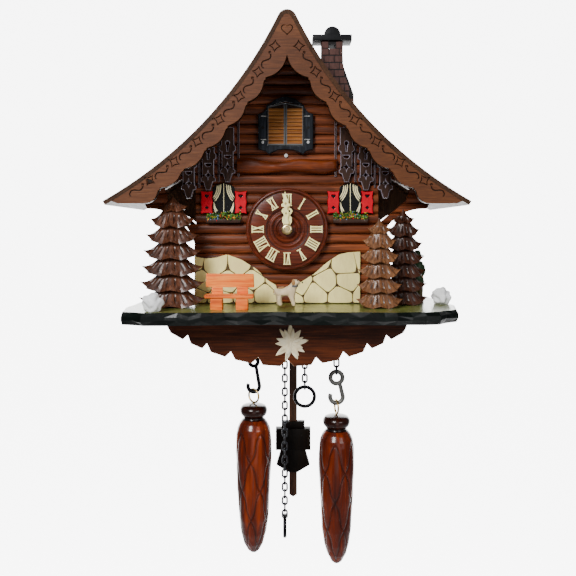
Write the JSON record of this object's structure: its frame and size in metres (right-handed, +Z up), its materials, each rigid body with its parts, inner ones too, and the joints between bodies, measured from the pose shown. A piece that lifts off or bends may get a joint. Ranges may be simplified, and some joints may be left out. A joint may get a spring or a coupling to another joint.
{
  "type": "cuckoo clock",
  "caption": "Battery chalet cuckoo clock with carved gable roof, log front, wooden dial, cuckoo window, fir trees on the shelf, pendulum, pull chains and pine-cone weights",
  "frame": {"origin": "centre of the hole in the wall hanger, on the wall plane", "axes": "+X to the right seen from the front, +Y into the wall, -Y toward the viewer, +Z up"},
  "size_m": [0.247, 0.142, 0.4031],
  "materials": {
    "roof_wood": "dark stained, satin",
    "board_wood": "brown stained, satin",
    "log_wood": "reddish brown stained, satin",
    "side_wood": "plain stained, matte",
    "shelf_paint": "olive stained, glossy carved edge",
    "plank_wood": "dark stained with pale edges",
    "frame_black": "black stained, satin",
    "leaf_wood": "golden brown, satin",
    "brick_paint": "painted as bricks, matte",
    "cap_paint": "grey black paint, matte",
    "window_paint": "printed curtains behind black bars",
    "shutter_red": "red paint, satin",
    "planter_paint": "green leaves and bright flowers, matte",
    "stone_paint": "cream paint over brown, matte",
    "tree_wood": "brown stained carving, satin",
    "bench_paint": "orange brown, satin",
    "dog_paint": "cream paint with tan patches",
    "figure_paint": "painted figure, matte",
    "boulder_paint": "white paint, matte",
    "dial_wood": "dark turned wood, satin",
    "ivory_plastic": "ivory moulded",
    "flower_cream": "cream moulded",
    "brass": "polished",
    "steel": "dull zinc",
    "black_wire": "black, satin",
    "cone_wood": "chestnut, glossy",
    "pendulum_wood": "dark stained, satin",
    "movement_plastic": "black moulded",
    "battery_wrap": "printed wrap",
    "speaker_black": "paper cone and steel",
    "bird_paint": "painted"
  },
  "bodies": {
    "case": {"roof_panel_left": "roof_wood", "roof_panel_right": "roof_wood", "barge_board": "board_wood", "apron": "board_wood", "front_wall": "log_wood", "side_walls": "side_wood", "rear_frame": "side_wood", "base_plate": "shelf_paint", "gable_planks": "plank_wood", "log_beam": "plank_wood", "cuckoo_frame": "frame_black", "chimney_stack": "brick_paint", "chimney_cap": "cap_paint", "small_windows": "window_paint", "shutters": "shutter_red", "flower_boxes": "planter_paint", "stone_walls": "stone_paint", "tree_left": "tree_wood", "trees_right": "tree_wood", "bench": "bench_paint", "dog": "dog_paint", "woodsman": "figure_paint", "boulders": "boulder_paint", "dial": "dial_wood", "numerals": "ivory_plastic", "edelweiss": "flower_cream", "wall_hanger": "steel", "rear_hardware": "steel", "front_hardware": "steel", "chain_hooks": "steel", "movement_housing": "movement_plastic", "batteries": "battery_wrap", "speaker": "speaker_black"},
    "minute_works": {"minute_arbor": "brass", "minute_hand": "ivory_plastic", "hand_nut": "brass", "set_knob": "movement_plastic"},
    "hour_works": {"hour_hand": "ivory_plastic"},
    "bird": {"cuckoo_bird": "bird_paint", "bird_carriage": "bird_paint"},
    "leaf_left": {"leaf_left": "leaf_wood"},
    "leaf_right": {"leaf_right": "leaf_wood"},
    "pendulum": {"pendulum_rod": "pendulum_wood"},
    "bob": {"pendulum_bob": "pendulum_wood"},
    "left_drop": {"left_chain": "steel"},
    "left_hook": {"s_hook_left": "black_wire"},
    "left_weight": {"cone_left": "cone_wood", "cone_left_eye": "brass"},
    "right_drop": {"right_chain": "steel"},
    "right_hook": {"s_hook_right": "steel"},
    "right_weight": {"cone_right": "cone_wood", "cone_right_eye": "brass"},
    "long_pull": {"long_chain": "steel"},
    "long_ring": {"long_ring": "black_wire"},
    "short_pull": {"short_chain": "steel"},
    "short_ring": {"short_ring": "black_wire"},
    "rear_door": {"rear_door": "side_wood"},
    "door_latch": {"door_latch": "steel"},
    "battery_cover": {"battery_cover": "movement_plastic"},
    "mode_switch": {"mode_switch": "movement_plastic"}
  },
  "joints": [
    {"name": "minute_turn", "type": "hinge", "parent": "case", "child": "minute_works", "pos_m": [0, -0.07, -0.07], "axis": [0, 1, 0], "continuous": true},
    {"name": "hour_turn", "type": "hinge", "parent": "case", "child": "hour_works", "pos_m": [0, -0.07, -0.07], "axis": [0, 1, 0], "continuous": true},
    {"name": "bird_slide", "type": "slide", "parent": "case", "child": "bird", "axis": [0, -1, 0], "range_m": [0, 0.042]},
    {"name": "leaf_left_swing", "type": "hinge", "parent": "case", "child": "leaf_left", "pos_m": [-0.01435, -0.085, 0.0056], "axis": [0, 0, -1], "range_deg": [0, 95]},
    {"name": "leaf_right_swing", "type": "hinge", "parent": "case", "child": "leaf_right", "pos_m": [0.01195, -0.085, 0.0056], "axis": [0, 0, 1], "range_deg": [0, 95]},
    {"name": "pendulum_swing", "type": "hinge", "parent": "case", "child": "pendulum", "pos_m": [0.005, -0.022, -0.0864], "axis": [0, 1, 0], "range_deg": [-6, 6]},
    {"name": "bob_slide", "type": "slide", "parent": "pendulum", "child": "bob", "axis": [0, 0, 1], "range_m": [-0.008, 0.008]},
    {"name": "left_drop_swing", "type": "hinge", "parent": "case", "child": "left_drop", "pos_m": [-0.0255, -0.06, -0.1435], "axis": [1, 0, 0], "range_deg": [-6, 2]},
    {"name": "left_hook_swing", "type": "hinge", "parent": "left_drop", "child": "left_hook", "pos_m": [-0.0255, -0.06, -0.1702], "axis": [0, 1, 0], "range_deg": [-3, 15]},
    {"name": "left_weight_swing", "type": "hinge", "parent": "left_hook", "child": "left_weight", "pos_m": [-0.0255, -0.06, -0.1946], "axis": [1, 0, 0], "range_deg": [-6, 5]},
    {"name": "right_drop_swing", "type": "hinge", "parent": "case", "child": "right_drop", "pos_m": [0.0379, -0.06, -0.1435], "axis": [1, 0, 0], "range_deg": [-6, 2]},
    {"name": "right_hook_swing", "type": "hinge", "parent": "right_drop", "child": "right_hook", "pos_m": [0.0379, -0.06, -0.181], "axis": [0, 1, 0], "range_deg": [-15, 3]},
    {"name": "right_weight_swing", "type": "hinge", "parent": "right_hook", "child": "right_weight", "pos_m": [0.0379, -0.06, -0.20315], "axis": [1, 0, 0], "range_deg": [-18, 5]},
    {"name": "long_pull_swing", "type": "hinge", "parent": "case", "child": "long_pull", "pos_m": [-0.00175, -0.04, -0.1435], "axis": [0, 1, 0], "range_deg": [-1, 6]},
    {"name": "long_ring_swing", "type": "hinge", "parent": "long_pull", "child": "long_ring", "pos_m": [-0.00175, -0.04, -0.2998], "axis": [1, 0, 0], "range_deg": [-20, 20]},
    {"name": "short_pull_swing", "type": "hinge", "parent": "case", "child": "short_pull", "pos_m": [0.0141, -0.04, -0.1435], "axis": [0, 1, 0], "range_deg": [-12, 2]},
    {"name": "short_ring_swing", "type": "hinge", "parent": "short_pull", "child": "short_ring", "pos_m": [0.0141, -0.04, -0.1972], "axis": [0, 1, 0], "range_deg": [-20, 4]},
    {"name": "rear_door_swing", "type": "hinge", "parent": "case", "child": "rear_door", "pos_m": [-0.041, -0.002, -0.0644], "axis": [0, 0, 1], "range_deg": [0, 105]},
    {"name": "latch_turn", "type": "hinge", "parent": "case", "child": "door_latch", "pos_m": [0.0446, -0.0013, -0.0629], "axis": [0, 1, 0], "range_deg": [0, 90]},
    {"name": "battery_cover_slide", "type": "slide", "parent": "case", "child": "battery_cover", "axis": [1, 0, 0], "range_m": [0, 0.028]},
    {"name": "mode_switch_slide", "type": "slide", "parent": "case", "child": "mode_switch", "axis": [1, 0, 0], "range_m": [0, 0.004]}
  ],
  "couplings": [
    {"joint": "hour_turn", "follows": "minute_turn", "ratio": 0.083333},
    {"joint": "leaf_left_swing", "follows": "bird_slide", "rad_per_m": 39.477},
    {"joint": "leaf_right_swing", "follows": "bird_slide", "rad_per_m": 39.477}
  ]
}
